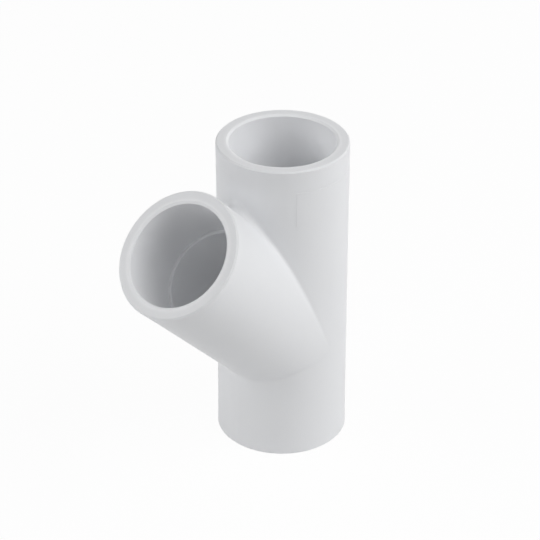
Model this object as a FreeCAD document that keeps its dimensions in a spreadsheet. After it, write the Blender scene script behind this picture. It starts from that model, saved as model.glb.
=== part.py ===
import FreeCAD, Part
import Sketcher
import math
import os

# Lateral wye: a straight run of pipe fitting with one branch leaving it at 45 degrees, moulded in one piece.
# The run stands on its lower end, its axis is Z, and the branch leans towards +X.
# Lengths are millimetres and angles are degrees.

# Driving sizes
driving = {
    "branchAngle": 45.0,  # between the branch and the run above it
    "entryDiameter": 26.87,  # socket at its mouth
    "socketTaper": 0.3,  # by which the real socket is narrower at its stop
    "socketDepth": 18.4,  # mouth to stop
    "stopStep": 0.76,  # height of the stop inside the socket
    "hubWall": 3.065,  # at the socket's mouth
    "hubSwell": 0.1,  # by which the outer wall grows towards a mouth
    "swellLength": 10.0,
    "lowerNeck": 10.737,  # plain wall between the heel's blend and the lower swell
    "upperNeck": 2.234,  # plain wall between the crotch's blend and the upper swell
    "branchNeck": 1.534,  # plain wall between the crotch's blend and the branch's swell
    "crotchBlend": 0.8,
    "heelBlend": 2.0,
    "rimBevel": 0.4,
    "stopBevel": 0.25,
    "leadInDepth": 0.4,
    "leadInWidth": 0.62,
    "panelSpread": 72.4,  # angle that the panel takes up of the run's round
    "panelHeight": 9.2,
    "panelDrop": 6.0,  # upper mouth to the panel's top
    "panelRise": 0.12,
}

# Sizes that follow from the driving ones
derived = {
    "waistRadius": "=entryDiameter / 2 + hubWall",
    "mouthRadius": "=waistRadius + hubSwell",
    "panelRadius": "=waistRadius + panelRise",
    "midWallRadius": "=waistRadius - hubWall / 2",
    "socketRadius": "=(entryDiameter - socketTaper / 2) / 2",
    "waterwayRadius": "=socketRadius - stopStep",
    "heelReach": "=(waistRadius + heelBlend) * tan(branchAngle / 2)",
    "crotchReach": "=(waistRadius + crotchBlend) / tan(branchAngle / 2)",
    "crossingHeight": "=swellLength + lowerNeck + heelReach",
    "upperSwellStart": "=crossingHeight + crotchReach + upperNeck",
    "runLength": "=upperSwellStart + swellLength",
    "upperSeat": "=runLength - socketDepth",
    "branchSwellStart": "=crotchReach + branchNeck",
    "branchLength": "=branchSwellStart + swellLength",
    "branchSeat": "=branchLength - socketDepth",
    "panelTop": "=runLength - panelDrop",
    "panelBottom": "=panelTop - panelHeight",
}

doc = FreeCAD.newDocument("lateral_wye")
sheet = doc.addObject("Spreadsheet::Sheet", "sizes")
cells = list(driving.items()) + list(derived.items())
for row, (name, value) in enumerate(cells, start=1):
    sheet.set(f"A{row}", name)
    sheet.set(f"B{row}", str(value))
    sheet.setAlias(f"B{row}", name)
doc.recompute()


def newSketch(body, name, role):
    """Starts an empty sketch on one of the body's origin planes, such as XZ_Plane."""
    plane = next(item for item in body.Origin.OriginFeatures if item.Role == role)
    sketch = body.newObject("Sketcher::SketchObject", name)
    sketch.AttachmentSupport = [(plane, "")]
    sketch.MapMode = "FlatFace"
    return sketch


def layAlongBranch(sketch):
    """Puts a sketch's origin where the axes cross and its vertical axis along the branch."""
    tilt = FreeCAD.Rotation(FreeCAD.Vector(0, 0, -1), sheet.branchAngle)
    sketch.AttachmentOffset = FreeCAD.Placement(FreeCAD.Vector(0, sheet.crossingHeight, 0), tilt)
    sketch.setExpression("AttachmentOffset.Base.y", "sizes.crossingHeight * 1mm")
    sketch.setExpression("AttachmentOffset.Rotation.Angle", "sizes.branchAngle * 1deg")


def drawOutline(sketch, corners, side):
    """Draws a closed outline, left (-1) or right (1) of the axis. A corner names two sizes, and None is 0."""
    places = [
        FreeCAD.Vector(side * getattr(sheet, across) if across else 0, getattr(sheet, up) if up else 0, 0)
        for across, up in corners
    ]
    lines = [
        sketch.addGeometry(Part.LineSegment(start, places[(index + 1) % len(places)]))
        for index, start in enumerate(places)
    ]
    for index, line in enumerate(lines):
        following = lines[(index + 1) % len(lines)]
        sketch.addConstraint(Sketcher.Constraint("Coincident", line, 2, following, 1))
    for line, (across, up), place in zip(lines, corners, places):
        if across:
            ends = (-1, 1, line, 1) if side > 0 else (line, 1, -1, 1)
            held = sketch.addConstraint(Sketcher.Constraint("DistanceX", *ends, abs(place.x)))
            sketch.setExpression(f"Constraints[{held}]", f"sizes.{across} * 1mm")
        else:
            sketch.addConstraint(Sketcher.Constraint("PointOnObject", line, 1, -2))
        if up:
            held = sketch.addConstraint(Sketcher.Constraint("DistanceY", -1, 1, line, 1, place.y))
            sketch.setExpression(f"Constraints[{held}]", f"sizes.{up} * 1mm")
        else:
            sketch.addConstraint(Sketcher.Constraint("PointOnObject", line, 1, -1))


def drawCircle(sketch, radius):
    """Draws a circle about the sketch's origin."""
    outline = Part.Circle(FreeCAD.Vector(0, 0, 0), FreeCAD.Vector(0, 0, 1), getattr(sheet, radius))
    circle = sketch.addGeometry(outline)
    sketch.addConstraint(Sketcher.Constraint("Coincident", circle, 3, -1, 1))
    held = sketch.addConstraint(Sketcher.Constraint("Radius", circle, getattr(sheet, radius)))
    sketch.setExpression(f"Constraints[{held}]", f"sizes.{radius} * 1mm")


def padded(body, name, sketch, length):
    """Raises a sketch to a length."""
    feature = body.newObject("PartDesign::Pad", name)
    feature.Profile = sketch
    feature.setExpression("Length", f"sizes.{length} * 1mm")
    return feature


def turned(body, kind, name, sketch):
    """Turns a sketch about its vertical axis, as added or removed material."""
    feature = body.newObject(kind, name)
    feature.Profile = sketch
    feature.ReferenceAxis = (sketch, ["V_Axis"])
    feature.Angle = 360
    return feature


def edgesWhere(feature, wanted):
    """Names the feature's edges that pass a test."""
    return [f"Edge{number}" for number, edge in enumerate(feature.Shape.Edges, start=1) if wanted(edge)]


def rounded(body, name, base, edges, radius):
    """Fillets edges of an earlier feature."""
    feature = body.newObject("PartDesign::Fillet", name)
    feature.Base = (base, edges)
    feature.setExpression("Radius", f"sizes.{radius} * 1mm")
    return feature


def bevelled(body, name, base, edges, size, size2=None):
    """Chamfers edges of an earlier feature, evenly or with a second distance."""
    feature = body.newObject("PartDesign::Chamfer", name)
    feature.Base = (base, edges)
    feature.setExpression("Size", f"sizes.{size} * 1mm")
    if size2:
        feature.ChamferType = "Two distances"
        feature.setExpression("Size2", f"sizes.{size2} * 1mm")
    return feature


# Places of the crossing and of the three mouths, and how closely an edge is matched to them
near = 0.01
lean = math.radians(sheet.branchAngle)
crossing = FreeCAD.Vector(0, 0, sheet.crossingHeight)
alongBranch = FreeCAD.Vector(math.sin(lean), 0, math.cos(lean))
mouths = [
    FreeCAD.Vector(0, 0, 0),
    FreeCAD.Vector(0, 0, sheet.runLength),
    crossing + alongBranch * sheet.branchLength,
]


def offRun(point):
    """Distance of a point from the axis of the run."""
    return math.hypot(point.x, point.y)


def offBranch(point):
    """Distance of a point from the axis of the branch."""
    return (point - crossing).cross(alongBranch).Length


def isJunction(edge):
    """True where the two walls meet, apart from where they only touch at the side."""
    middle = edge.valueAt((edge.FirstParameter + edge.LastParameter) / 2)
    onRun = abs(offRun(middle) - sheet.waistRadius) < near
    onBranch = abs(offBranch(middle) - sheet.waistRadius) < near
    return onRun and onBranch and (middle - crossing).Length > sheet.waistRadius + near


def isCrotch(edge):
    """True for the part of the junction above the crossing."""
    return isJunction(edge) and edge.CenterOfMass.z > crossing.z


def isHeel(edge):
    """True for the part of the junction below the crossing."""
    return isJunction(edge) and edge.CenterOfMass.z < crossing.z


def isRing(edge, radius, depth):
    """True for a full circle of this radius at this depth behind a mouth."""
    if not edge.isClosed():
        return False
    middle = edge.CenterOfMass
    fromMouth = min((middle - mouth).Length for mouth in mouths)
    reach = (edge.valueAt(edge.FirstParameter) - middle).Length
    return abs(reach - radius) < near and abs(fromMouth - depth) < near


def isRim(edge):
    """True for the outer edge of a mouth."""
    return isRing(edge, sheet.mouthRadius, 0)


def isSocketMouth(edge):
    """True for the inner edge of a mouth."""
    return isRing(edge, sheet.socketRadius, 0)


def isStopEdge(edge):
    """True for the inner edge of a pipe stop, where the socket gives way to the waterway."""
    return isRing(edge, sheet.waterwayRadius, sheet.socketDepth)


wye = doc.addObject("PartDesign::Body", "wyeBody")
wye.Label = "wye_body"
wye.Placement = FreeCAD.Placement()

# Round walls of the run and the branch, of one diameter; the branch's starts where the axes cross
runCircle = newSketch(wye, "runCircle", "XY_Plane")
drawCircle(runCircle, "waistRadius")
runWall = padded(wye, "runWall", runCircle, "runLength")

branchCircle = newSketch(wye, "branchCircle", "XY_Plane")
tilt = FreeCAD.Rotation(FreeCAD.Vector(0, 1, 0), sheet.branchAngle)
branchCircle.AttachmentOffset = FreeCAD.Placement(crossing, tilt)
branchCircle.setExpression("AttachmentOffset.Base.z", "sizes.crossingHeight * 1mm")
branchCircle.setExpression("AttachmentOffset.Rotation.Angle", "sizes.branchAngle * 1deg")
drawCircle(branchCircle, "waistRadius")
branchWall = padded(wye, "branchWall", branchCircle, "branchLength")
doc.recompute()

# Blends where the walls meet: tight in the crotch above, wide at the heel below
crotch = rounded(wye, "crotch", branchWall, edgesWhere(branchWall, isCrotch), "crotchBlend")
doc.recompute()
heel = rounded(wye, "heel", crotch, edgesWhere(crotch, isHeel), "heelBlend")
doc.recompute()

# Slight swell of the outer wall towards each mouth
runSwellOutline = newSketch(wye, "runSwellOutline", "XZ_Plane")
drawOutline(runSwellOutline, [
    ("midWallRadius", None),
    ("mouthRadius", None),
    ("waistRadius", "swellLength"),
    ("midWallRadius", "swellLength"),
], 1)
drawOutline(runSwellOutline, [
    ("midWallRadius", "upperSwellStart"),
    ("waistRadius", "upperSwellStart"),
    ("mouthRadius", "runLength"),
    ("midWallRadius", "runLength"),
], 1)
runSwell = turned(wye, "PartDesign::Revolution", "runSwell", runSwellOutline)

branchSwellOutline = newSketch(wye, "branchSwellOutline", "XZ_Plane")
layAlongBranch(branchSwellOutline)
drawOutline(branchSwellOutline, [
    ("midWallRadius", "branchSwellStart"),
    ("waistRadius", "branchSwellStart"),
    ("mouthRadius", "branchLength"),
    ("midWallRadius", "branchLength"),
], 1)
branchSwell = turned(wye, "PartDesign::Revolution", "branchSwell", branchSwellOutline)
doc.recompute()

# Run bore: a socket at each end and the waterway between their stops
runBoreOutline = newSketch(wye, "runBoreOutline", "XZ_Plane")
drawOutline(runBoreOutline, [
    (None, None),
    ("socketRadius", None),
    ("socketRadius", "socketDepth"),
    ("waterwayRadius", "socketDepth"),
    ("waterwayRadius", "upperSeat"),
    ("socketRadius", "upperSeat"),
    ("socketRadius", "runLength"),
    (None, "runLength"),
], -1)
runBore = turned(wye, "PartDesign::Groove", "runBore", runBoreOutline)

# Branch bore: its waterway opens into the run's, and its socket ends at the mouth
branchBoreOutline = newSketch(wye, "branchBoreOutline", "XZ_Plane")
layAlongBranch(branchBoreOutline)
drawOutline(branchBoreOutline, [
    (None, None),
    ("waterwayRadius", None),
    ("waterwayRadius", "branchSeat"),
    ("socketRadius", "branchSeat"),
    ("socketRadius", "branchLength"),
    (None, "branchLength"),
], -1)
branchBore = turned(wye, "PartDesign::Groove", "branchBore", branchBoreOutline)
doc.recompute()

# Bare panel for markings, raised on the run's side above the branch
panelOutline = newSketch(wye, "panelOutline", "YZ_Plane")
drawOutline(panelOutline, [
    ("midWallRadius", "panelBottom"),
    ("panelRadius", "panelBottom"),
    ("panelRadius", "panelTop"),
    ("midWallRadius", "panelTop"),
], 1)
panel = turned(wye, "PartDesign::Revolution", "panel", panelOutline)
panel.Midplane = True
panel.setExpression("Angle", "sizes.panelSpread * 1deg")
doc.recompute()

# Broken rims outside, a lead-in for the pipe inside, and a broken edge on each stop
rims = bevelled(wye, "rims", panel, edgesWhere(panel, isRim), "rimBevel")
doc.recompute()
leadIns = bevelled(wye, "leadIns", rims, edgesWhere(rims, isSocketMouth), "leadInWidth", "leadInDepth")
doc.recompute()
stops = bevelled(wye, "stops", leadIns, edgesWhere(leadIns, isStopEdge), "stopBevel")
wye.Tip = stops
doc.recompute()

faults = [item.Name for item in doc.Objects if "Invalid" in item.State or "Error" in item.State]
if faults:
    raise RuntimeError(f"these did not build: {faults}")
if wye.Shape.isNull() or not wye.Shape.isValid():
    raise RuntimeError("the body is not a valid solid")

os.makedirs("parts", exist_ok=True)
wye.Shape.exportStep(f"parts/{wye.Label}.step")
print(f"{wye.Label}: {len(wye.Shape.Faces)} faces, {wye.Shape.Volume:.1f} cubic mm")
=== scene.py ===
from math import cos, pi, radians, sin

import bmesh
import bpy
from mathutils import Matrix, Vector


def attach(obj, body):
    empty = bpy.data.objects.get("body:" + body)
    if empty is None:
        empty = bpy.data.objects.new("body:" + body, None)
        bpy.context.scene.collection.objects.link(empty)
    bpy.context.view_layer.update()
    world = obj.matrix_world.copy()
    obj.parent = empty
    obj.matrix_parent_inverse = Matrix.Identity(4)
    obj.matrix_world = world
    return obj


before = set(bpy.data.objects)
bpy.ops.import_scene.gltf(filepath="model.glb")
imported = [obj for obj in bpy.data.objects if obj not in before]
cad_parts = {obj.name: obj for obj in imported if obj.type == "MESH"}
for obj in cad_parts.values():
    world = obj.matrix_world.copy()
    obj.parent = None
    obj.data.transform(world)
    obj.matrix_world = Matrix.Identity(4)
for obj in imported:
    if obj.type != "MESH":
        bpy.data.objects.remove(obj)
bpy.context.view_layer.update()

# A white plastic wye for water pipe: its finish, with painted light in the bores, the saddle of its crotch,
# a plain stage, lamps and camera.

# Where the body's walls stand, as the CAD model has them
wallValues = {
    "radius": 0.0165,
    "branchAngle": 45.0,
    "crossingHeight": 0.0284,           # where the branch's axis meets the run's
}


def addNode(tree, kind, sockets=None, **menus):
    # a shader node with its sockets' numbers and its menus set
    node = tree.nodes.new(kind)
    for name, choice in menus.items():
        setattr(node, name, choice)
    for name, value in (sockets or {}).items():
        node.inputs[name].default_value = value
    return node


def objectFrom(mesh, name, material):
    # the object of a finished bmesh, with its one material
    data = bpy.data.meshes.new(name)
    mesh.to_mesh(data)
    mesh.free()
    data.materials.append(material)
    item = bpy.data.objects.new(name, data)
    bpy.context.scene.collection.objects.link(item)
    return item


def viewAxes(azimuth, elevation, roll=0.0):
    # right, up and back directions of a camera that looks along +Y at azimuth 0
    turn, rise, bank = radians(azimuth), radians(elevation), radians(roll)
    back = Vector((sin(turn) * cos(rise), -cos(turn) * cos(rise), sin(rise)))
    level = Vector((cos(turn), sin(turn), 0.0))
    upright = back.cross(level)
    right = level * cos(bank) + upright * sin(bank)
    return right, back.cross(right), back


def placed(item, right, up, back, place):
    # stands a camera or lamp at a place, looking against its back direction
    item.matrix_world = Matrix((
        (right.x, up.x, back.x, place.x),
        (right.y, up.y, back.y, place.y),
        (right.z, up.z, back.z, place.z),
        (0.0, 0.0, 0.0, 1.0),
    ))


# White rigid plastic of the moulded body: satin outside, smoother in the bores where the cores slid out,
# and paler there with painted light
plasticValues = {
    "colour": (0.850, 0.858, 0.873, 1.0),
    "paintedBoreLightColour": (0.920, 0.927, 0.942, 1.0),    # painted light: paler, standing in for the light that comes through the wall
    "cloudTint": (0.975, 0.976, 0.979, 1.0),
    "clouds": {"size": 0.014, "detail": 3.0},    # patches of thicker and thinner pigment
    "satinRoughness": (0.50, 0.60),
    "boreRoughness": (0.40, 0.48),
    "sheen": {"size": 0.005, "detail": 4.0},     # patches where the mould left more or less shine
    "sheenRange": (0.3, 0.7),           # the noise's values that the roughness is spread over
    "ior": 1.53,
    "grain": {"size": 0.00040, "detail": 2.0},   # fine grain of the mould's steel
    "grainDepth": 0.000018,
    "ripple": {"size": 0.006, "detail": 1.0},    # slow waves left as the plastic shrank
    "rippleDepth": 0.000040,
    "rippleStrength": 1.0,
    "noiseRoughness": 0.5,              # of all four noises
    "boreRadius": 0.0138,               # the bores' finish and their painted light end here
    "satinRadius": 0.0150,              # the outside's finish and plain colour start here
}


def axisDistance(tree, point):
    # distance of the shaded point from the upper half of the z axis of the coordinates given: the caps take
    # out z above 0, and leave x and y alone, which never reach 1 m
    flat = addNode(tree, "ShaderNodeVectorMath", {1: (1.0, 1.0, 0.0)}, operation="MINIMUM")
    length = addNode(tree, "ShaderNodeVectorMath", operation="LENGTH")
    tree.links.new(point, flat.inputs[0])
    tree.links.new(flat.outputs["Vector"], length.inputs[0])
    return length.outputs["Value"]


def satinAndBoreLightMask(tree, point, values, walls):
    # 0 in the run's and the branch's bores, where the smoother finish and the painted light go, 1 on the
    # outside
    alongBranch = addNode(tree, "ShaderNodeMapping", {
        "Location": (0.0, 0.0, walls["crossingHeight"]),
        "Rotation": (0.0, radians(walls["branchAngle"]), 0.0),
    }, vector_type="TEXTURE")
    tree.links.new(point, alongBranch.inputs["Vector"])
    nearest = addNode(tree, "ShaderNodeMath", operation="MINIMUM")
    tree.links.new(axisDistance(tree, point), nearest.inputs[0])
    tree.links.new(axisDistance(tree, alongBranch.outputs["Vector"]), nearest.inputs[1])
    share = addNode(tree, "ShaderNodeMapRange", {
        "From Min": values["boreRadius"],
        "From Max": values["satinRadius"],
    }, interpolation_type="SMOOTHSTEP")
    tree.links.new(nearest.outputs["Value"], share.inputs["Value"])
    return share.outputs["Result"]


def noiseOf(tree, point, values, name):
    # one of the finish's four noises
    noise = addNode(tree, "ShaderNodeTexNoise", {
        "Scale": 1.0 / values[name]["size"],
        "Detail": values[name]["detail"],
        "Roughness": values["noiseRoughness"],
    })
    tree.links.new(point, noise.inputs["Vector"])
    return noise.outputs["Fac"]


def makePlastic(values, walls):
    material = bpy.data.materials.new("whitePlastic")
    material.use_nodes = True
    tree = material.node_tree
    shader = tree.nodes["Principled BSDF"]
    shader.inputs["IOR"].default_value = values["ior"]
    point = addNode(tree, "ShaderNodeTexCoord").outputs["Object"]
    satinAgainstBoreLight = satinAndBoreLightMask(tree, point, values, walls)

    # colour: the bores' paler colour, painted light for the light that comes through the wall, mixed with
    # the outside's, and the clouds over it
    colour = addNode(tree, "ShaderNodeMixRGB", {"Color1": values["paintedBoreLightColour"], "Color2": values["colour"]})
    tree.links.new(satinAgainstBoreLight, colour.inputs["Fac"])
    clouds = addNode(tree, "ShaderNodeMixRGB", {"Color2": values["cloudTint"]}, blend_type="MULTIPLY")
    tree.links.new(noiseOf(tree, point, values, "clouds"), clouds.inputs["Fac"])
    tree.links.new(colour.outputs["Color"], clouds.inputs["Color1"])
    tree.links.new(clouds.outputs["Color"], shader.inputs["Base Color"])

    # roughness: one noise, spread over the bores' range and over the outside's
    sheen = noiseOf(tree, point, values, "sheen")
    least, most = values["sheenRange"]
    levels = []
    for low, high in (values["boreRoughness"], values["satinRoughness"]):
        level = addNode(tree, "ShaderNodeMapRange", {
            "From Min": least,
            "From Max": most,
            "To Min": low,
            "To Max": high,
        })
        tree.links.new(sheen, level.inputs["Value"])
        levels.append(level.outputs["Result"])
    roughness = addNode(tree, "ShaderNodeMix")
    tree.links.new(satinAgainstBoreLight, roughness.inputs["Factor"])
    tree.links.new(levels[0], roughness.inputs["A"])
    tree.links.new(levels[1], roughness.inputs["B"])
    tree.links.new(roughness.outputs["Result"], shader.inputs["Roughness"])

    # relief: the slow waves everywhere, the fine grain on the outside only
    ripple = addNode(tree, "ShaderNodeBump", {
        "Strength": values["rippleStrength"],
        "Distance": values["rippleDepth"],
    })
    tree.links.new(noiseOf(tree, point, values, "ripple"), ripple.inputs["Height"])
    grain = addNode(tree, "ShaderNodeBump", {"Distance": values["grainDepth"]})
    tree.links.new(satinAgainstBoreLight, grain.inputs["Strength"])
    tree.links.new(noiseOf(tree, point, values, "grain"), grain.inputs["Height"])
    tree.links.new(ripple.outputs["Normal"], grain.inputs["Normal"])
    tree.links.new(grain.outputs["Normal"], shader.inputs["Normal"])
    return material


# Saddle of the crotch: a wedge that widens the body's own blend, its foot and edges sunk into the two walls
saddleValues = {
    "middleBlend": 0.0020,              # in the middle, over the body's 0.8 mm
    "endBlend": 0.0007,                 # less than the body's, so the ends run out under it
    "spread": 36.0,                     # angle round the walls, each way from the middle
    "hem": 0.0008,                      # strip along each side that dips into the wall
    "hemDepth": 0.00003,
    "footDepth": 0.0004,
    "along": 72,                        # faces from end to end
    "across": 26,                       # faces from wall to wall, the two hems' among them
    "rowTolerance": 0.001,
    "sharpAngle": 57.0,
}


def crotchPoint(walls, turn, reach):
    # the point above the crossing that is as far as this from both axes, at an angle round them
    half = radians(walls["branchAngle"]) / 2
    point = Vector((sin(half), 0.0, cos(half))) * (reach * cos(turn) / sin(half))
    return point + Vector((0.0, reach * sin(turn), walls["crossingHeight"]))


def saddlePoint(values, walls, along, across, isFoot):
    # on the wedge's round face, where a ball that rolls in the crotch touches, or on its foot inside the
    # walls; along goes from -1 to 1 between the ends, across from the run's wall to the branch's
    turn = radians(values["spread"]) * along
    angle = radians(walls["branchAngle"])
    bell = (1.0 + cos(pi * along)) / 2
    blend = values["endBlend"] + (values["middleBlend"] - values["endBlend"]) * bell
    fromRun = Vector((cos(turn), sin(turn), 0.0))
    fromBranch = Vector((-sin(angle) * cos(turn), sin(turn), cos(angle) * cos(turn)))
    inner = 1.0 - 2.0 / values["across"]      # the hems lie beyond it
    if isFoot:
        share = 0.0 if across < 0.0 else 1.0
    else:
        share = min(max((1.0 + across / inner) / 2, 0.0), 1.0)
    outwards = fromRun.slerp(fromBranch, share)
    point = crotchPoint(walls, turn, walls["radius"] + blend) - outwards * blend
    if isFoot or abs(across) > inner + values["rowTolerance"]:
        away = Vector((0.0, 0.0, 1.0)) if across < 0.0 else Vector((sin(angle), 0.0, cos(angle)))
        point += away * values["hem"] - outwards * values["footDepth" if isFoot else "hemDepth"]
    if isFoot:
        point = crotchPoint(walls, turn, walls["radius"] - values["footDepth"]).lerp(point, abs(across))
    return point


def makeSaddle(values, walls, finish):
    mesh = bmesh.new()
    bmesh.ops.create_grid(mesh, x_segments=values["along"], y_segments=values["across"], size=1.0)
    extruded = bmesh.ops.extrude_face_region(mesh, geom=mesh.faces[:], use_keep_orig=True)["geom"]
    foot = {item for item in extruded if isinstance(item, bmesh.types.BMVert)}
    for vertex in mesh.verts:
        along, across = vertex.co.xy
        vertex.co = saddlePoint(values, walls, along, across, vertex in foot)
    # the extrusion makes the faces of its sides in another order at each run, so all are put in one order
    inOrder = sorted(mesh.faces, key=lambda face: face.calc_center_median().to_tuple())
    for number, face in enumerate(inOrder):
        face.index = number
    mesh.faces.sort()
    bmesh.ops.recalc_face_normals(mesh, faces=mesh.faces)
    for face in mesh.faces:
        face.smooth = True
    for edge in mesh.edges:
        edge.smooth = edge.calc_face_angle(0.0) < radians(values["sharpAngle"])
    saddle = objectFrom(mesh, "crotchSaddle", finish)
    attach(saddle, "root")


# Plain white stage: camera, glossy and transmission rays see it as white, all other rays as it is lit
stageValues = {
    "reach": 3.0,
    "floorColour": (0.86, 0.86, 0.86, 1.0),
    "floorRoughness": 0.9,
    "seenColour": (1.0, 1.0, 1.0, 1.0),
    "seenStrength": 1.0,
    "seenShare": 0.96,                  # white part of the floor; the rest keeps the fitting's shadow
    "fillColour": (1.0, 1.0, 1.0, 1.0),
    "fillStrength": 0.05,
}


def seenRays(tree):
    # 1 for camera, glossy and transmission rays
    paths = addNode(tree, "ShaderNodeLightPath")
    direct = addNode(tree, "ShaderNodeMath", operation="MAXIMUM")
    tree.links.new(paths.outputs["Is Camera Ray"], direct.inputs[0])
    tree.links.new(paths.outputs["Is Glossy Ray"], direct.inputs[1])
    either = addNode(tree, "ShaderNodeMath", operation="MAXIMUM")
    tree.links.new(direct.outputs["Value"], either.inputs[0])
    tree.links.new(paths.outputs["Is Transmission Ray"], either.inputs[1])
    return either.outputs["Value"]


def makeFloor(values):
    mesh = bmesh.new()
    bmesh.ops.create_grid(mesh, x_segments=1, y_segments=1, size=values["reach"])
    material = bpy.data.materials.new("floorWhite")
    material.use_nodes = True
    tree = material.node_tree
    shader = tree.nodes["Principled BSDF"]
    shader.inputs["Base Color"].default_value = values["floorColour"]
    shader.inputs["Roughness"].default_value = values["floorRoughness"]
    glow = addNode(tree, "ShaderNodeEmission", {
        "Color": values["seenColour"],
        "Strength": values["seenStrength"],
    })
    share = addNode(tree, "ShaderNodeMath", {1: values["seenShare"]}, operation="MULTIPLY")
    tree.links.new(seenRays(tree), share.inputs[0])
    blend = addNode(tree, "ShaderNodeMixShader")
    tree.links.new(share.outputs["Value"], blend.inputs["Fac"])
    tree.links.new(shader.outputs["BSDF"], blend.inputs[1])
    tree.links.new(glow.outputs["Emission"], blend.inputs[2])
    tree.links.new(blend.outputs["Shader"], tree.nodes["Material Output"].inputs["Surface"])
    floor = objectFrom(mesh, "floor", material)


def makeWorld(values):
    world = bpy.data.worlds.new("studio")
    world.use_nodes = True
    bpy.context.scene.world = world
    tree = world.node_tree
    fill = tree.nodes["Background"]
    fill.inputs["Color"].default_value = values["fillColour"]
    fill.inputs["Strength"].default_value = values["fillStrength"]
    seen = addNode(tree, "ShaderNodeBackground", {
        "Color": values["seenColour"],
        "Strength": values["seenStrength"],
    })
    blend = addNode(tree, "ShaderNodeMixShader")
    tree.links.new(seenRays(tree), blend.inputs["Fac"])
    tree.links.new(fill.outputs["Background"], blend.inputs[1])
    tree.links.new(seen.outputs["Background"], blend.inputs[2])
    tree.links.new(blend.outputs["Shader"], tree.nodes["World Output"].inputs["Surface"])


# Lamps: soft boxes that aim at the middle of the fitting
lampValues = {
    "aim": (0.016, 0.0, 0.04),
    "distance": 0.9,
    "boxes": {
        "right": {"azimuth": 204.0, "elevation": 41.0, "width": 0.80, "height": 0.70, "watts": 6.05},
        "front": {"azimuth": 132.0, "elevation": 36.0, "width": 0.45, "height": 0.45, "watts": 0.4},
        "left": {"azimuth": 53.0, "elevation": 28.0, "width": 0.75, "height": 0.45, "watts": 3.85},
        "back": {"azimuth": 278.0, "elevation": 25.0, "width": 0.50, "height": 0.45, "watts": 1.0},
    },
}


def makeLamps(values):
    for name, box in values["boxes"].items():
        data = bpy.data.lights.new(name, "AREA")
        data.shape = "RECTANGLE"
        data.size = box["width"]
        data.size_y = box["height"]
        data.energy = box["watts"]
        lamp = bpy.data.objects.new(name, data)
        lamp.visible_camera = False
        bpy.context.scene.collection.objects.link(lamp)
        right, up, back = viewAxes(box["azimuth"], box["elevation"])
        placed(lamp, right, up, back, Vector(values["aim"]) + back * values["distance"])


# Camera: where the photo was taken from
cameraValues = {
    "azimuth": 132.12,
    "elevation": 30.82,
    "roll": 0.10,
    "aim": (-0.00277, -0.00667, 0.04135),
    "distance": 0.6574,
    "lens": 171.1,
    "sensor": 36.0,
    "nearest": 0.01,
    "farthest": 20.0,
}


def makeCamera(values):
    data = bpy.data.cameras.new("camera")
    data.lens = values["lens"]
    data.sensor_width = values["sensor"]
    data.clip_start = values["nearest"]
    data.clip_end = values["farthest"]
    camera = bpy.data.objects.new("camera", data)
    bpy.context.scene.collection.objects.link(camera)
    right, up, back = viewAxes(values["azimuth"], values["elevation"], values["roll"])
    placed(camera, right, up, back, Vector(values["aim"]) + back * values["distance"])
    bpy.context.scene.camera = camera


plastic = makePlastic(plasticValues, wallValues)
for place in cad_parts["wye_body"].material_slots:
    place.material = plastic
print("plastic on the body")
makeSaddle(saddleValues, wallValues, plastic)
print("saddle in the crotch")

makeFloor(stageValues)
makeWorld(stageValues)
makeLamps(lampValues)
makeCamera(cameraValues)
bpy.context.scene.view_settings.view_transform = "Standard"
print("stage, lamps and camera")
